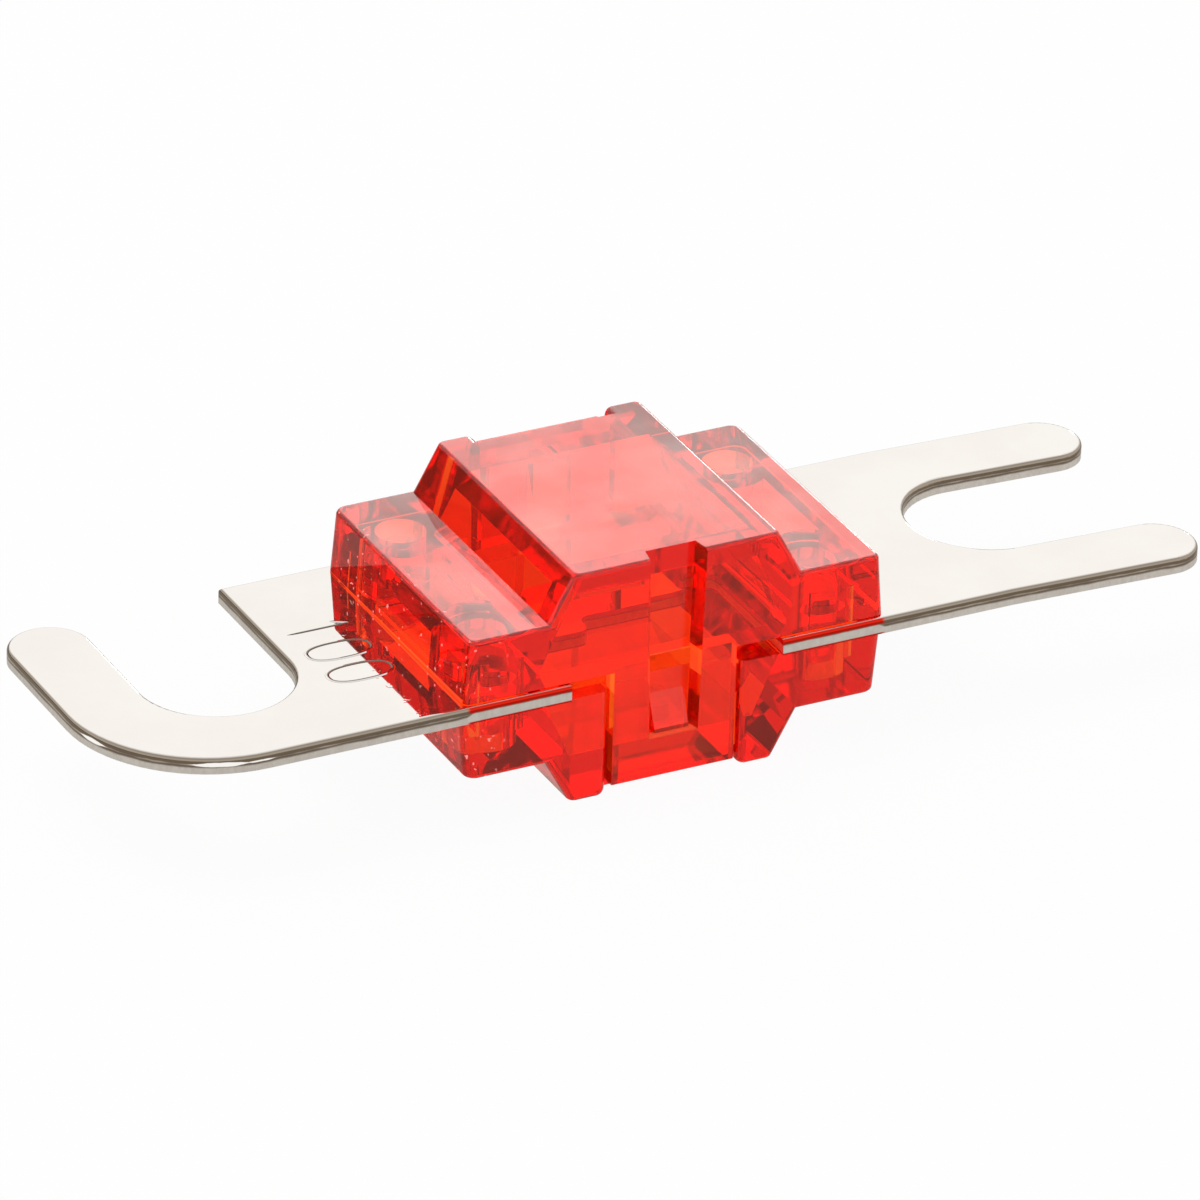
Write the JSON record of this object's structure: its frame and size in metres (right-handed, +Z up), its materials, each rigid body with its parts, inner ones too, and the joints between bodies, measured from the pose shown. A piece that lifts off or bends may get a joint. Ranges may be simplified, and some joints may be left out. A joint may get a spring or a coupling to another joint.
{
  "type": "mini anl fuse",
  "caption": "Bolt-down strip fuse: a flat plated element with a hooked end and a forked end, clasped between two stepped half shells of clear red plastic that snap together.",
  "frame": {"origin": "middle of the lower shell's flat crown face, midway between the two bolt centres", "axes": "+X along the strip from the hook to the fork, +Y to the mouth of the hook, +Z up"},
  "size_m": [0.042, 0.0114, 0.0089],
  "materials": {
    "plated_strip": "bright satin tin plating",
    "red_plastic": "glossy, transparent"
  },
  "bodies": {
    "root": {"fuse_element": "plated_strip", "upper_shell": "red_plastic", "lower_shell": "red_plastic"}
  },
  "joints": []
}
